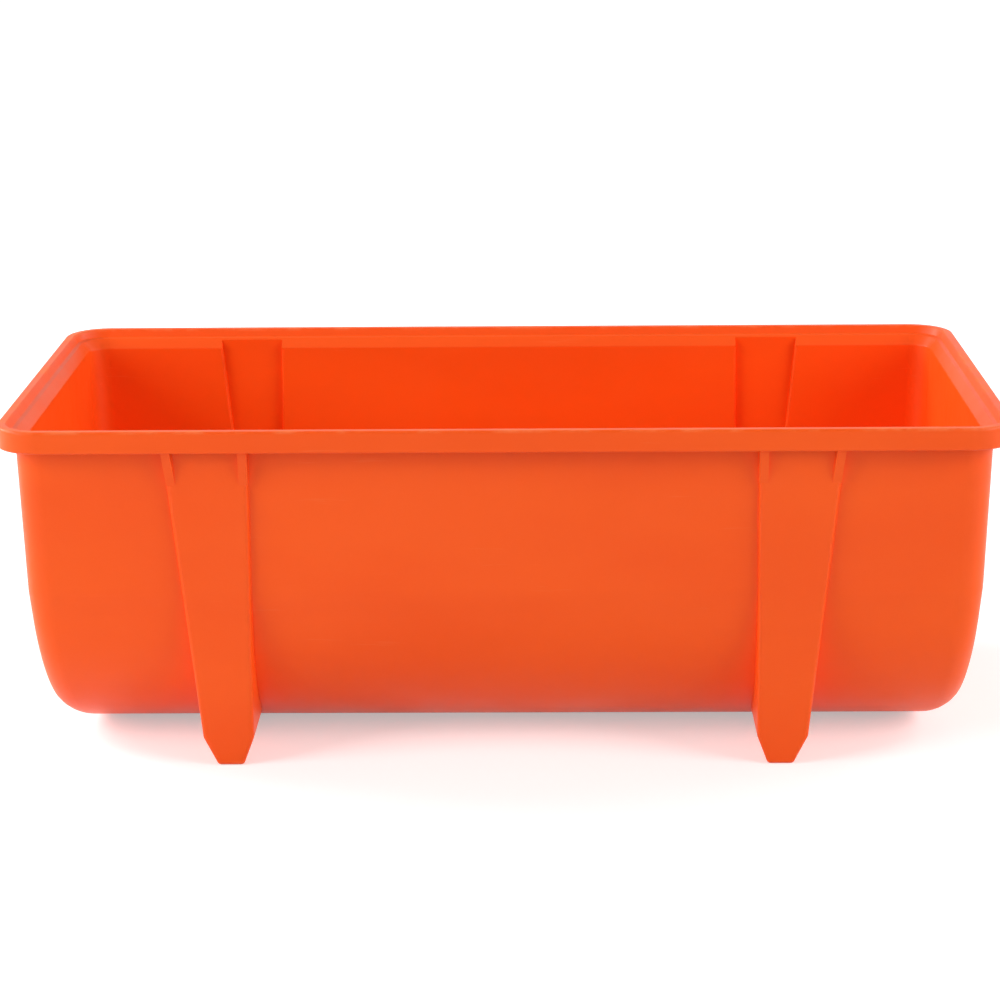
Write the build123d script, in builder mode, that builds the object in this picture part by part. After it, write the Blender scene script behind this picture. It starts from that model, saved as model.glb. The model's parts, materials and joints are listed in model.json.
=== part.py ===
"""Mortar mixing tub: a trough-shaped plastic tub with a skirted rim and four hollow legs.

Millimetres, +Z up, X along the tub, -Y its front. The origin is on the floor under the
middle of the tub. The object is one moulding; each part below is one region of it, and
neighbouring regions meet face to face.
"""

import os
from math import cos, radians, sin, tan

from build123d import *

os.makedirs("parts", exist_ok=True)

# ---------------------------------------------------------------- overall size
length = 600.0  # along X, over the rim skirt
width = 300.0  # along Y, over the rim skirt
height = 211.0  # floor to the top of the rim
corner_radius = 27.5  # plan radius of the skirt's outer corners

# ---------------------------------------------------------------- rim section
skirt_depth = 13.4  # rim top down to the skirt's lower edge
skirt_wall = 3.0
skirt_edge_round = 1.3
lip_wall = 3.0
lip_top = 5.5  # flat top, measured in from the skirt's outer face
lip_round = 1.8
lip_step_in = 2.5  # the step down inside the lip: how far in, how far down
lip_step_down = 4.9
ledge_in = 2.0  # the narrow ledge at the step's foot
ledge_down = 0.8
shoulder_in = 4.6  # the steep shoulder between ledge and wall
shoulder_down = 6.0
stub_down = 12.8  # rim top down to where the rim ends and the basin begins

# ---------------------------------------------------------------- basin
wall = 3.8
wall_draft = 1.5  # degrees, above the crease
crease_height = 106.8  # where the walls turn inward
crease_round = 30.0
lower_draft = 10.0  # degrees, long walls below the crease
lower_straight = 20.0  # straight run below the crease before the round bottom starts
end_lower_draft = 3.7  # degrees, end walls below the crease
end_bend_radius = 50.0  # end wall rolling under to the bottom
end_bend_turn = 55.0  # degrees from vertical where that roll meets the bottom
bottom_height = 1.3  # underside of the round bottom above the floor
jamb_round = 1.5  # soft edge where a leg channel opens into the basin

# ---------------------------------------------------------------- legs
leg_setback = 7.9  # skirt's outer face to the leg's face, at the skirt's lower edge
leg_face_draft = 1.0  # degrees
leg_inner_x = 149.9  # leg edge nearer the tub's middle, at the skirt's lower edge
leg_top_width = 50.5
leg_inner_draft = 0.65  # degrees
leg_outer_draft = 5.63  # degrees
foot_chamfer_height = 17.5
foot_inner_in = 6.6  # how far each chamfer runs in at the foot
foot_outer_in = 8.6
foot_corner_round = 2.5
leg_wall = 5.0
leg_face_wall = 3.0
leg_floor = 3.5
leg_reach = 86.0  # leg's face at the floor to the foot's back end
leg_edge_round = 2.6

# ---------------------------------------------------------------- gussets
gusset_width = 5.4
gusset_drop = 21.0  # below the skirt's lower edge

# ---------------------------------------------------------------- derived
half_length = length / 2
half_width = width / 2
skirt_bottom = height - skirt_depth
basin_top = height - stub_down
inner_inset = lip_top + lip_step_in + ledge_in + shoulder_in
outer_inset = inner_inset - wall
body_radius = corner_radius - outer_inset
above = 20.0  # how far the working volumes run past the rim


def slope(degrees):
    """Run per unit of fall for a face drafted by this angle."""
    return tan(radians(degrees))


def long_profile():
    """Outline of the tub across its length, with the long walls at either side."""
    top = basin_top + above
    top_y = half_width - outer_inset + above * slope(wall_draft)
    crease_y = half_width - outer_inset - (basin_top - crease_height) * slope(wall_draft)
    bend_y = crease_y - lower_straight * sin(radians(lower_draft))
    bend_z = crease_height - lower_straight * cos(radians(lower_draft))
    bend_radius = (bend_z - bottom_height) / (1 - sin(radians(lower_draft)))
    flat_y = bend_y - bend_radius * cos(radians(lower_draft))
    under = (-sin(radians(lower_draft)), -cos(radians(lower_draft)))
    with BuildSketch() as profile:
        with BuildLine():
            Line((0, top), (top_y, top))
            Line((top_y, top), (crease_y, crease_height))
            Line((crease_y, crease_height), (bend_y, bend_z))
            TangentArc((bend_y, bend_z), (flat_y, bottom_height), tangent=under)
            Line((flat_y, bottom_height), (0, bottom_height))
            mirror(about=Plane.YZ)
        make_face()
        fillet([v for v in vertices() if abs(v.Y - crease_height) < 0.01], radius=crease_round)
    return profile.sketch


def end_profile():
    """Outline of the tub along its length, with the end walls at either side."""
    top = basin_top + above
    top_x = half_length - outer_inset + above * slope(wall_draft)
    crease_x = half_length - outer_inset - (basin_top - crease_height) * slope(wall_draft)
    start = radians(end_lower_draft)
    end = radians(end_bend_turn)
    bend_z = bottom_height + end_bend_radius * (sin(end) - sin(start))
    bend_x = crease_x - (crease_height - bend_z) * slope(end_lower_draft)
    foot_x = bend_x - end_bend_radius * (cos(start) - cos(end))
    foot_z = bottom_height - above
    foot_run = above / slope(90 - end_bend_turn)
    with BuildSketch() as profile:
        with BuildLine():
            Line((0, top), (top_x, top))
            Line((top_x, top), (crease_x, crease_height))
            Line((crease_x, crease_height), (bend_x, bend_z))
            TangentArc((bend_x, bend_z), (foot_x, bottom_height), tangent=(-sin(start), -cos(start)))
            Line((foot_x, bottom_height), (foot_x - foot_run, foot_z))
            Line((foot_x - foot_run, foot_z), (0, foot_z))
            mirror(about=Plane.YZ)
        make_face()
        fillet([v for v in vertices() if abs(v.Y - crease_height) < 0.01], radius=crease_round)
    return profile.sketch


def trough_volume(inset):
    """Solid of the basin's outer surface, or of the surface `inset` inside it."""
    with BuildPart() as volume:
        with BuildSketch(Plane.YZ):
            add(long_profile())
            if inset:
                offset(amount=-inset, kind=Kind.INTERSECTION, mode=Mode.REPLACE)
        extrude(amount=half_length, both=True)
        with BuildSketch(Plane.XZ):
            add(end_profile())
            if inset:
                offset(amount=-inset, kind=Kind.INTERSECTION, mode=Mode.REPLACE)
        extrude(amount=half_width, both=True, mode=Mode.INTERSECT)
        top_z = volume.part.bounding_box().max.Z
        foot_z = volume.part.bounding_box().min.Z
        ring = []
        for edge in edges():
            box = edge.bounding_box()
            along_x = box.size.Y < 0.01 and box.size.Z < 0.01
            along_y = box.size.X < 0.01 and box.size.Z < 0.01
            at_top = box.min.Z > top_z - 0.01
            if at_top or along_x or (along_y and box.min.Z > foot_z + 0.01):
                continue
            ring.append(edge)
        fillet(ring, radius=body_radius - inset)
    return volume.part


def rim_ring(points, rounds=()):
    """Sweep a rim section once round the tub.

    Each point is (in from the skirt's outer face, up from the rim top). Each round is
    (point index, radius).
    """
    with BuildPart() as ring:
        with BuildLine(Plane.XY.offset(height)) as path:
            straight_x = half_length - corner_radius
            straight_y = half_width - corner_radius
            Line((0, -half_width), (straight_x, -half_width))
            CenterArc((straight_x, -straight_y), corner_radius, -90, 90)
            Line((half_length, -straight_y), (half_length, straight_y))
            CenterArc((straight_x, straight_y), corner_radius, 0, 90)
            Line((straight_x, half_width), (-straight_x, half_width))
            CenterArc((-straight_x, straight_y), corner_radius, 90, 90)
            Line((-half_length, straight_y), (-half_length, -straight_y))
            CenterArc((-straight_x, -straight_y), corner_radius, 180, 90)
            Line((-straight_x, -half_width), (0, -half_width))
        section_plane = Plane(origin=(0, -half_width, height), x_dir=(0, 1, 0), z_dir=(1, 0, 0))
        with BuildSketch(section_plane):
            Polygon(*points, align=None)
            for index, radius in rounds:
                corner = Vector(*points[index])
                fillet(vertices().sort_by_distance(corner)[0], radius=radius)
        sweep(path=path.wires()[0])
    return ring.part


def leg_volume(side_wall, face_wall, floor_wall, edge_round):
    """Solid of the front right leg's outer surface, or of its hollow when given walls."""
    top = height + above
    inner_top = leg_inner_x - (top - skirt_bottom) * slope(leg_inner_draft)
    outer_top = leg_inner_x + leg_top_width + (top - skirt_bottom) * slope(leg_outer_draft)
    inner_foot = leg_inner_x + (skirt_bottom - foot_chamfer_height) * slope(leg_inner_draft)
    outer_foot = (
        leg_inner_x
        + leg_top_width
        - (skirt_bottom - foot_chamfer_height) * slope(leg_outer_draft)
    )
    face_y = -half_width + leg_setback
    face_top_y = face_y - (top - skirt_bottom) * slope(leg_face_draft)
    face_foot_y = face_y + skirt_bottom * slope(leg_face_draft)
    back_y = face_foot_y + leg_reach
    with BuildPart() as volume:
        with BuildSketch(Plane.XZ):
            Polygon(
                (inner_top, top),
                (outer_top, top),
                (outer_foot, foot_chamfer_height),
                (outer_foot - foot_outer_in, 0),
                (inner_foot + foot_inner_in, 0),
                (inner_foot, foot_chamfer_height),
                align=None,
            )
            low = [v for v in vertices() if v.Y < foot_chamfer_height + 0.01]
            fillet(low, radius=foot_corner_round)
            if side_wall:
                offset(amount=-side_wall, kind=Kind.INTERSECTION, mode=Mode.REPLACE)
        extrude(amount=width, both=True)
        with BuildSketch(Plane.YZ):
            Polygon(
                (face_top_y + face_wall, top),
                (0, top),
                (0, skirt_bottom),
                (back_y - face_wall, crease_height),
                (back_y - face_wall, floor_wall),
                (face_foot_y + face_wall, floor_wall),
                align=None,
            )
        extrude(amount=length, both=True, mode=Mode.INTERSECT)
        if edge_round:
            face = faces().sort_by(Axis.Y)[0]
            ring = face.edges().sort_by(Axis.Z)[:-1]
            fillet(ring, radius=edge_round)
    return volume.part


def folded(edge):
    """The edge's middle, mirrored into the front right quarter."""
    middle = edge.position_at(0.5)
    return Vertex(abs(middle.X), -abs(middle.Y), middle.Z)


def basin_jambs(part):
    """Edges where the leg channels cut the basin's inner faces."""
    found = []
    for edge in part.edges():
        middle = folded(edge)
        on_channel = middle.distance_to(leg_hollow) < 0.001
        on_inside = middle.distance_to(tub_inner) < 0.001
        if on_channel and on_inside and middle.Z < basin_top - 0.01:
            found.append(edge)
    return found


def gusset_volume(edge_x, draft, toward):
    """Rib from the skirt to the front right leg's face, flush with one edge of the leg.

    `edge_x` is that edge at the skirt's lower edge, `draft` how it leans, and `toward`
    points from the edge to the leg's middle.
    """
    top = height
    foot = skirt_bottom - gusset_drop
    skirt_y = -half_width + skirt_wall
    face_y = -half_width + leg_setback
    foot_y = face_y + gusset_drop * slope(leg_face_draft)
    back_y = face_y + leg_face_wall
    edge_top = edge_x + (top - skirt_bottom) * slope(draft)
    edge_foot = edge_x - gusset_drop * slope(draft)
    with BuildPart() as volume:
        with BuildSketch(Plane.YZ):
            Polygon(
                (skirt_y, top),
                (back_y, top),
                (back_y, foot),
                (foot_y, foot),
                (skirt_y, skirt_bottom),
                align=None,
            )
        extrude(amount=length, both=True)
        with BuildSketch(Plane.XZ):
            Polygon(
                (edge_top, top),
                (edge_top + toward * gusset_width, top),
                (edge_foot + toward * gusset_width, foot),
                (edge_foot, foot),
                align=None,
            )
        extrude(amount=width, both=True, mode=Mode.INTERSECT)
    return volume.part


# ---------------------------------------------------------------- shared surfaces
step_x = lip_top + lip_step_in
ledge_x = step_x + ledge_in
ledge_z = -lip_step_down - ledge_down
shoulder_z = ledge_z - shoulder_down
under_step = (step_x - lip_wall + 0.2, ledge_z - lip_wall + 1.2)
under_ledge = (ledge_x - 1.3, ledge_z - lip_wall - 0.1)
under_shoulder = (outer_inset, shoulder_z - 0.5)
underside = [
    (skirt_wall, -lip_wall),
    (step_x - lip_wall - 0.6, -lip_wall),
    under_step,
    under_ledge,
    under_shoulder,
    (outer_inset, -stub_down),
]

tub_outer = trough_volume(0.0)
tub_inner = trough_volume(wall)
leg_outer = leg_volume(0.0, 0.0, 0.0, leg_edge_round)
leg_hollow = leg_volume(leg_wall, leg_face_wall, leg_floor, 0.0)
beyond = inner_inset + wall
rim_and_above = rim_ring(
    underside + [(beyond, -stub_down), (beyond, above), (0, above), (0, -lip_wall)]
)

# ---------------------------------------------------------------- rim
lip_solid = rim_ring(
    [
        (0, -lip_wall),
        (0, 0),
        (lip_top, 0),
        (step_x, -lip_step_down),
        (ledge_x, ledge_z),
        (inner_inset, shoulder_z),
        (inner_inset, -stub_down),
    ]
    + underside[::-1],
    rounds=[(1, lip_round), (2, 0.8), (3, 1.0), (4, 0.8), (5, 1.5)],
)

with BuildPart() as rim_lip:
    add(lip_solid)
    add(leg_hollow, mode=Mode.SUBTRACT)
    add(leg_hollow.mirror(Plane.YZ), mode=Mode.SUBTRACT)
    add(leg_hollow.mirror(Plane.XZ), mode=Mode.SUBTRACT)
    add(leg_hollow.mirror(Plane.XZ).mirror(Plane.YZ), mode=Mode.SUBTRACT)

with BuildPart() as rim_skirt:
    add(
        rim_ring(
            [(0, -lip_wall), (skirt_wall, -lip_wall), (skirt_wall, -skirt_depth), (0, -skirt_depth)],
            rounds=[(3, skirt_edge_round), (2, 0.8)],
        )
    )

# ---------------------------------------------------------------- basin
with BuildPart() as basin:
    add(tub_outer)
    add(tub_inner, mode=Mode.SUBTRACT)
    add(leg_hollow, mode=Mode.SUBTRACT)
    add(leg_hollow.mirror(Plane.YZ), mode=Mode.SUBTRACT)
    add(leg_hollow.mirror(Plane.XZ), mode=Mode.SUBTRACT)
    add(leg_hollow.mirror(Plane.XZ).mirror(Plane.YZ), mode=Mode.SUBTRACT)
    split(bisect_by=Plane.XY.offset(basin_top), keep=Keep.BOTTOM)
    fillet(basin_jambs(basin.part), radius=jamb_round)

# ---------------------------------------------------------------- legs
with BuildPart() as leg_front_right:
    add(leg_outer)
    add(leg_hollow, mode=Mode.SUBTRACT)
    add(tub_outer, mode=Mode.SUBTRACT)
    add(rim_and_above, mode=Mode.SUBTRACT)
    split(bisect_by=Plane.XY.offset(height - lip_wall), keep=Keep.BOTTOM)

with BuildPart() as leg_front_left:
    add(leg_front_right.part.mirror(Plane.YZ))

with BuildPart() as leg_rear_right:
    add(leg_front_right.part.mirror(Plane.XZ))

with BuildPart() as leg_rear_left:
    add(leg_front_right.part.mirror(Plane.XZ).mirror(Plane.YZ))

# ---------------------------------------------------------------- gussets
with BuildPart() as gusset_inner:
    add(gusset_volume(leg_inner_x, -leg_inner_draft, 1))
    add(leg_outer, mode=Mode.SUBTRACT)
    add(rim_and_above, mode=Mode.SUBTRACT)

with BuildPart() as gusset_outer:
    add(gusset_volume(leg_inner_x + leg_top_width, leg_outer_draft, -1))
    add(leg_outer, mode=Mode.SUBTRACT)
    add(rim_and_above, mode=Mode.SUBTRACT)

# ---------------------------------------------------------------- export
regions = {
    "basin": basin.part,
    "rim_lip": rim_lip.part,
    "rim_skirt": rim_skirt.part,
    "leg_front_left": leg_front_left.part,
    "leg_front_right": leg_front_right.part,
    "leg_rear_left": leg_rear_left.part,
    "leg_rear_right": leg_rear_right.part,
}
for place, rib in (("inner", gusset_inner.part), ("outer", gusset_outer.part)):
    regions[f"gusset_front_right_{place}"] = rib
    regions[f"gusset_front_left_{place}"] = rib.mirror(Plane.YZ)
    regions[f"gusset_rear_right_{place}"] = rib.mirror(Plane.XZ)
    regions[f"gusset_rear_left_{place}"] = rib.mirror(Plane.XZ).mirror(Plane.YZ)

for name, part in regions.items():
    part.label = name
    export_step(part, f"parts/{name}.step")
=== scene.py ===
"""Mortar mixing tub: looks, light and camera. Metres, in the CAD frame."""

import json
from math import cos, radians, sin

import bpy
from mathutils import Matrix, Vector

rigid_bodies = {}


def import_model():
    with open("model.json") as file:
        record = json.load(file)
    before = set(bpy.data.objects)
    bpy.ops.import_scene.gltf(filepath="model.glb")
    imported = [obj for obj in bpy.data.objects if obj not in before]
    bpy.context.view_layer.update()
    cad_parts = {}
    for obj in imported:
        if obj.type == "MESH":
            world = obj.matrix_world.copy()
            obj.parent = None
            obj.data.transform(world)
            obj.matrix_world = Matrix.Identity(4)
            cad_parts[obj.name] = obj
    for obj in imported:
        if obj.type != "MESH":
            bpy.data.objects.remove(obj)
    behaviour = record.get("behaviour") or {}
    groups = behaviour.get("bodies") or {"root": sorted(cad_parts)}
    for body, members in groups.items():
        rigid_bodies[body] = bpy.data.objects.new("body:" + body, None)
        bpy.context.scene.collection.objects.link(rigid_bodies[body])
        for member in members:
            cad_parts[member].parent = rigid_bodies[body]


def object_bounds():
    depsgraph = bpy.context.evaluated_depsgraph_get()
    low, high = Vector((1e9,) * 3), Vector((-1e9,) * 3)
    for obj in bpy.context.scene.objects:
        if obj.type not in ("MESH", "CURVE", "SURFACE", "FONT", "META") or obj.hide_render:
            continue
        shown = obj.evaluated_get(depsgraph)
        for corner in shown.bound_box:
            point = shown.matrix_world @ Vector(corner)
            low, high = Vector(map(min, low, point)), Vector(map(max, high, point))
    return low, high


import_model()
low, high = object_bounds()

PLASTIC = "orange_plastic"
RIM_TOP = high.z
FLOOR_WIDTH = 40.0

# Lamps: name, place, size and power in watts. All of them point at AIM.
AIM = Vector((0.0, 0.0, 0.1))
LAMPS = (
    ("left_front", (-2.1, -1.0, 1.15), (1.2, 1.2), 36.0),
    ("right_front", (2.1, -1.0, 1.1), (1.2, 1.2), 31.5),
    ("front", (-0.2, -2.8, 0.9), (2.4, 1.4), 1.0),
    ("top_soft", (0.0, 0.2, 2.3), (2.0, 1.4), 1.5),
    ("left_rear", (-2.0, 0.7, 1.2), (1.0, 1.0), 38.0),
    ("right_rear", (2.0, 0.7, 1.2), (1.0, 1.0), 16.0),
)
WORLD_LIGHT = 0.2

# Camera: turn and tilt in radians, lens in millimetres on a 36 mm sensor.
YAW = -0.0170
PITCH = 0.2683
ROLL = -0.0086
LENS = 98.57
CAMERA_PLACE = Vector((0.0245, -1.69356, 0.59375))


# ---------------------------------------------------------------- node helpers
class Graph:
    """Short names for building a node tree."""

    def __init__(self, material):
        self.tree = material.node_tree
        self.nodes = self.tree.nodes
        self.links = self.tree.links

    def node(self, kind, **inputs):
        made = self.nodes.new(kind)
        for name, value in inputs.items():
            self.put(made, name.replace("_", " "), value)
        return made

    def put(self, node, name, value):
        socket = node.inputs[name]
        if isinstance(value, bpy.types.NodeSocket):
            self.links.new(value, socket)
        else:
            socket.default_value = value

    def math(self, operation, first, second=0.0, clamp=False):
        made = self.nodes.new("ShaderNodeMath")
        made.operation = operation
        made.use_clamp = clamp
        for index, value in enumerate((first, second)):
            if isinstance(value, bpy.types.NodeSocket):
                self.links.new(value, made.inputs[index])
            else:
                made.inputs[index].default_value = value
        return made.outputs[0]

    def ramp(self, value, start, end, low_value=0.0, high_value=1.0):
        """Smooth map from start..end to low_value..high_value, held past both."""
        made = self.nodes.new("ShaderNodeMapRange")
        made.interpolation_type = "SMOOTHSTEP"
        self.put(made, "Value", value)
        self.put(made, "From Min", start)
        self.put(made, "From Max", end)
        self.put(made, "To Min", low_value)
        self.put(made, "To Max", high_value)
        return made.outputs[0]

    def noise(self, vector, scale, detail=2.0, rough=0.5):
        made = self.nodes.new("ShaderNodeTexNoise")
        self.put(made, "Vector", vector)
        self.put(made, "Scale", scale)
        self.put(made, "Detail", detail)
        self.put(made, "Roughness", rough)
        return made.outputs[0]

    def mix(self, amount, first, second):
        made = self.nodes.new("ShaderNodeMix")
        made.data_type = "RGBA"
        for index, value in ((0, amount), (6, first), (7, second)):
            if isinstance(value, bpy.types.NodeSocket):
                self.links.new(value, made.inputs[index])
            else:
                made.inputs[index].default_value = value
        return made.outputs[2]

    def scaled(self, vector, x, y, z):
        made = self.nodes.new("ShaderNodeMapping")
        self.put(made, "Vector", vector)
        self.put(made, "Scale", (x, y, z))
        return made.outputs[0]


def linear(red, green, blue):
    """An 8-bit display colour as a linear one."""
    out = []
    for channel in (red, green, blue):
        share = channel / 255
        out.append(share / 12.92 if share <= 0.04045 else ((share + 0.055) / 1.055) ** 2.4)
    return (*out, 1.0)


# ---------------------------------------------------------------- the plastic
def plastic_material():
    material = bpy.data.materials.new(PLASTIC)
    material.use_nodes = True
    graph = Graph(material)
    shader = graph.nodes["Principled BSDF"]
    place = graph.nodes.new("ShaderNodeTexCoord").outputs["Object"]
    z = graph.node("ShaderNodeSeparateXYZ", Vector=place).outputs[2]

    # Pigment: slow clouds from the melt flow, drawn out along the length, and fine speckle.
    clouds = graph.noise(graph.scaled(place, 0.6, 1.0, 1.4), 9.0, 3.0, 0.5)
    speckle = graph.noise(place, 900.0, 2.0, 0.6)
    base = graph.mix(graph.ramp(clouds, 0.35, 0.65), linear(248, 86, 14), linear(251, 91, 17))
    base = graph.mix(graph.ramp(speckle, 0.30, 0.75, 0.0, 0.10), base, linear(255, 98, 32))

    # Painted highlight and handling wear: the rim top is painted paler as a highlight, whatever is
    # nearest the floor is paler from wear, and both are duller.
    highlight_and_wear_patches = graph.noise(place, 55.0, 4.0, 0.6)
    # Painted highlight: the top of the rim is painted paler, in patches.
    painted_rim_highlight = graph.ramp(z, RIM_TOP - 0.0022, RIM_TOP - 0.0002)
    near_foot = graph.ramp(z, 0.004, 0.0)
    highlight_and_wear_zones = graph.math("MAXIMUM", painted_rim_highlight, near_foot)
    highlight_and_wear = graph.math("MULTIPLY", highlight_and_wear_zones, graph.ramp(highlight_and_wear_patches, 0.42, 0.66))
    base = graph.mix(graph.math("MULTIPLY", highlight_and_wear, 0.30), base, linear(255, 150, 96))

    # Scuffs: sparse fine strokes, mostly along the length.
    strokes = graph.noise(graph.scaled(place, 14.0, 190.0, 260.0), 1.0, 3.0, 0.7)
    patches = graph.noise(place, 13.0, 1.0, 0.5)
    scuff = graph.math(
        "MULTIPLY", graph.ramp(strokes, 0.63, 0.70), graph.ramp(patches, 0.52, 0.64)
    )
    base = graph.mix(graph.math("MULTIPLY", scuff, 0.10), base, linear(255, 140, 90))
    graph.put(shader, "Base Color", base)

    # Gloss: satin, a shade duller on the painted-highlight rim top, where worn near the floor, and
    # where scuffed.
    haze = graph.noise(place, 34.0, 3.0, 0.55)
    rough = graph.ramp(haze, 0.3, 0.7, 0.37, 0.43)
    rough = graph.math("ADD", rough, graph.math("MULTIPLY", highlight_and_wear, 0.12))
    rough = graph.math("ADD", rough, graph.math("MULTIPLY", scuff, 0.10), clamp=True)
    graph.put(shader, "Roughness", rough)
    graph.put(shader, "IOR", 1.49)
    graph.put(shader, "Specular IOR Level", 0.25)

    # Surface: fine mould grain, and a long faint waviness from uneven cooling.
    grain = graph.noise(place, 1500.0, 2.0, 0.5)
    waves = graph.noise(graph.scaled(place, 1.0, 1.6, 1.6), 16.0, 2.0, 0.4)
    fine = graph.node("ShaderNodeBump", Strength=0.05, Distance=0.0002, Height=grain)
    broad = graph.node(
        "ShaderNodeBump", Strength=0.20, Distance=0.0012, Height=waves, Normal=fine.outputs[0]
    )
    marks = graph.node(
        "ShaderNodeBump", Strength=0.10, Distance=0.0001, Height=scuff, Normal=broad.outputs[0]
    )
    graph.put(shader, "Normal", marks.outputs[0])
    return material


plastic = plastic_material()
for item in bpy.data.objects:
    if item.type == "MESH":
        for held in item.material_slots:
            held.material = plastic


# ---------------------------------------------------------------- floor
def seen_directly(tree):
    """1 for rays from the camera and for those seen in a gloss or through glass."""
    rays = tree.nodes.new("ShaderNodeLightPath")
    total = rays.outputs["Is Camera Ray"]
    for name in ("Is Glossy Ray", "Is Transmission Ray"):
        joined = tree.nodes.new("ShaderNodeMath")
        joined.operation = "MAXIMUM"
        tree.links.new(total, joined.inputs[0])
        tree.links.new(rays.outputs[name], joined.inputs[1])
        total = joined.outputs[0]
    return total


def floor_material():
    """Pale matt floor, lifted to white where it is seen, so that only shadows show."""
    material = bpy.data.materials.new("studio_floor")
    material.use_nodes = True
    graph = Graph(material)
    shader = graph.nodes["Principled BSDF"]
    graph.put(shader, "Base Color", (0.86, 0.86, 0.86, 1.0))
    graph.put(shader, "Roughness", 0.9)
    graph.put(shader, "Specular IOR Level", 0.1)
    graph.put(shader, "Emission Color", (1.0, 1.0, 1.0, 1.0))
    place = graph.nodes.new("ShaderNodeTexCoord").outputs["Object"]
    away = graph.nodes.new("ShaderNodeVectorMath")
    away.operation = "LENGTH"
    graph.put(away, "Vector", place)
    lift = graph.ramp(away.outputs["Value"], 0.5, 2.6, 0.42, 0.90)
    graph.put(shader, "Emission Strength", graph.math("MULTIPLY", seen_directly(graph.tree), lift))

    # Clear from below, so that the tub's underside can be looked at.
    side = graph.nodes.new("ShaderNodeNewGeometry").outputs["Backfacing"]
    clear = graph.nodes.new("ShaderNodeBsdfTransparent")
    pick = graph.nodes.new("ShaderNodeMixShader")
    graph.links.new(side, pick.inputs[0])
    graph.links.new(shader.outputs[0], pick.inputs[1])
    graph.links.new(clear.outputs[0], pick.inputs[2])
    graph.links.new(pick.outputs[0], graph.nodes["Material Output"].inputs["Surface"])
    return material


bpy.ops.mesh.primitive_plane_add(size=FLOOR_WIDTH, location=(0.0, 0.0, low.z))
floor = bpy.context.object
floor.name = "studio_floor"
floor.data.materials.append(floor_material())


# ---------------------------------------------------------------- light
def area_light(name, place, aim, size, power):
    data = bpy.data.lights.new(name, "AREA")
    data.shape = "RECTANGLE"
    data.size, data.size_y = size
    data.energy = power
    lamp = bpy.data.objects.new(name, data)
    lamp.location = place
    lamp.rotation_euler = (Vector(aim) - Vector(place)).to_track_quat("-Z", "Y").to_euler()
    bpy.context.collection.objects.link(lamp)
    return lamp


for lamp_name, lamp_place, lamp_size, lamp_power in LAMPS:
    area_light(lamp_name, lamp_place, AIM, lamp_size, lamp_power)


def white_world():
    """Soft white surroundings, seen as plain white by the camera."""
    world = bpy.data.worlds.new("studio")
    bpy.context.scene.world = world
    world.use_nodes = True
    tree = world.node_tree
    tree.nodes.clear()
    out = tree.nodes.new("ShaderNodeOutputWorld")
    seen = tree.nodes.new("ShaderNodeBackground")
    seen.inputs["Color"].default_value = (1.0, 1.0, 1.0, 1.0)
    seen.inputs["Strength"].default_value = 1.0
    given = tree.nodes.new("ShaderNodeBackground")
    given.inputs["Color"].default_value = (1.0, 1.0, 1.0, 1.0)
    given.inputs["Strength"].default_value = WORLD_LIGHT
    pick = tree.nodes.new("ShaderNodeMixShader")
    tree.links.new(seen_directly(tree), pick.inputs[0])
    tree.links.new(given.outputs[0], pick.inputs[1])
    tree.links.new(seen.outputs[0], pick.inputs[2])
    tree.links.new(pick.outputs[0], out.inputs["Surface"])


white_world()


# ---------------------------------------------------------------- camera
def place_camera():
    """A long lens in front of the tub, a little above it."""
    forward = Vector((sin(YAW) * cos(PITCH), cos(YAW) * cos(PITCH), -sin(PITCH)))
    right = Vector((cos(YAW), -sin(YAW), 0.0))
    up = right.cross(forward)
    across = cos(ROLL) * right + sin(ROLL) * up
    upward = -sin(ROLL) * right + cos(ROLL) * up
    data = bpy.data.cameras.new("camera")
    data.sensor_width = 36.0
    data.lens = LENS
    data.dof.use_dof = False
    camera = bpy.data.objects.new("camera", data)
    turn = Matrix((across, upward, -forward)).transposed().to_4x4()
    camera.matrix_world = Matrix.Translation(CAMERA_PLACE) @ turn
    bpy.context.collection.objects.link(camera)
    bpy.context.scene.camera = camera


place_camera()
bpy.context.scene.view_settings.view_transform = "Standard"
